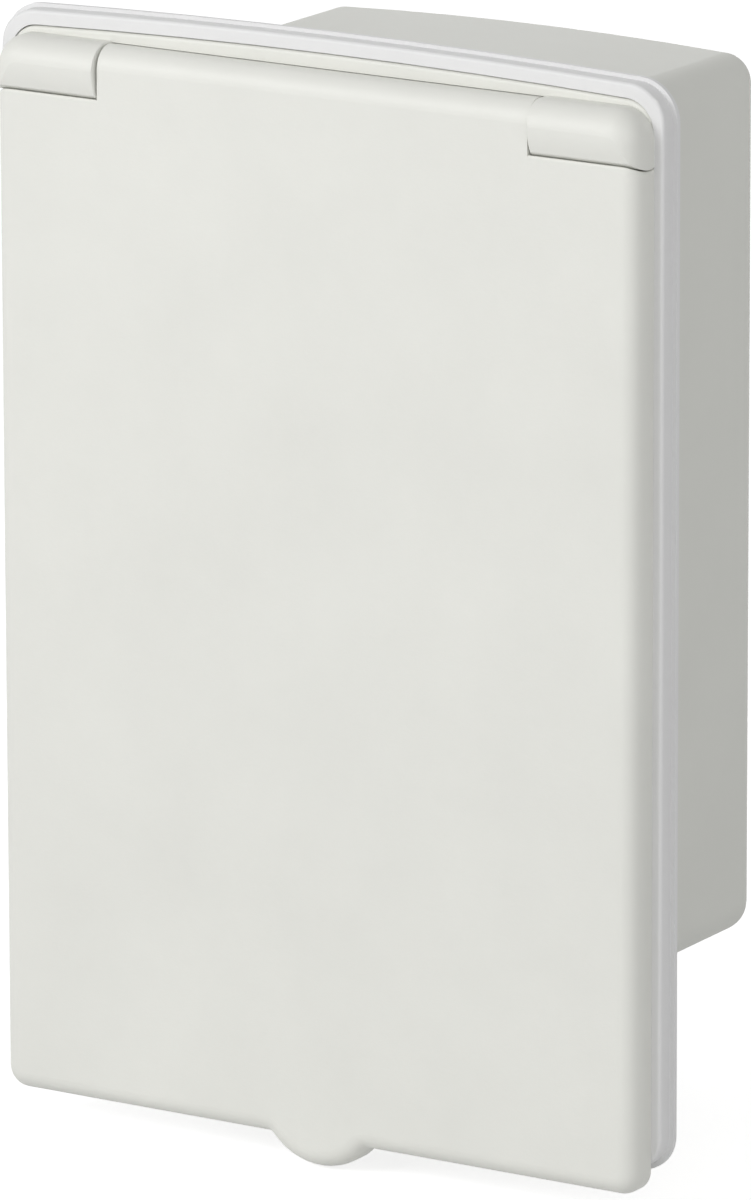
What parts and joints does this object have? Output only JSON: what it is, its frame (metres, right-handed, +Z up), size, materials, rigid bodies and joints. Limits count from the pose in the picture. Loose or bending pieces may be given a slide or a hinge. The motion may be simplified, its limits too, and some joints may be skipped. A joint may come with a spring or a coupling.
{
  "type": "flush power inlet",
  "caption": "Flush wall power inlet: cream flap lid hinged at the top, white flange seal and grey back box round a blue round pin inlet.",
  "frame": {"origin": "centre of the four wall screw holes, on the plane of the wall", "axes": "+X to the right seen from the front, +Y into the wall, +Z up; the lid faces -Y"},
  "size_m": [0.1084, 0.0798, 0.1604],
  "materials": {
    "cream_plastic": "fine spark-eroded texture, cream",
    "white_elastomer": "smooth satin white thermoplastic elastomer",
    "grey_plastic": "satin light grey moulding",
    "blue_plastic": "satin blue moulding",
    "black_plastic": "satin black moulding",
    "contact_metal": "turned brass with a nickel plate",
    "steel": "stainless, bright",
    "seal_rubber": "soft black rubber",
    "gland_plastic": "grey polyamide"
  },
  "bodies": {
    "housing": {"front_frame": "cream_plastic", "flange_seal": "white_elastomer", "hinge_pin_left": "steel", "hinge_pin_right": "steel", "back_box": "grey_plastic", "box_screws": "steel", "inlet_plate": "grey_plastic", "plate_screws": "steel", "inlet_shroud": "blue_plastic", "inlet_gasket": "seal_rubber", "inlet_screws": "steel", "contact_carrier": "black_plastic", "earth_pin": "contact_metal", "live_pin": "contact_metal", "neutral_pin": "contact_metal", "terminal_screws": "steel", "gland_body": "gland_plastic", "gland_washer": "seal_rubber", "gland_locknut": "gland_plastic", "gland_bush": "seal_rubber", "gland_cap": "gland_plastic"},
    "lid": {"lid": "cream_plastic", "lid_seal": "seal_rubber"}
  },
  "joints": [
    {"name": "lid_hinge", "type": "hinge", "parent": "housing", "child": "lid", "pos_m": [0, -0.0046, 0.072], "axis": [-1, 0, 0], "range_deg": [0, 120]}
  ]
}
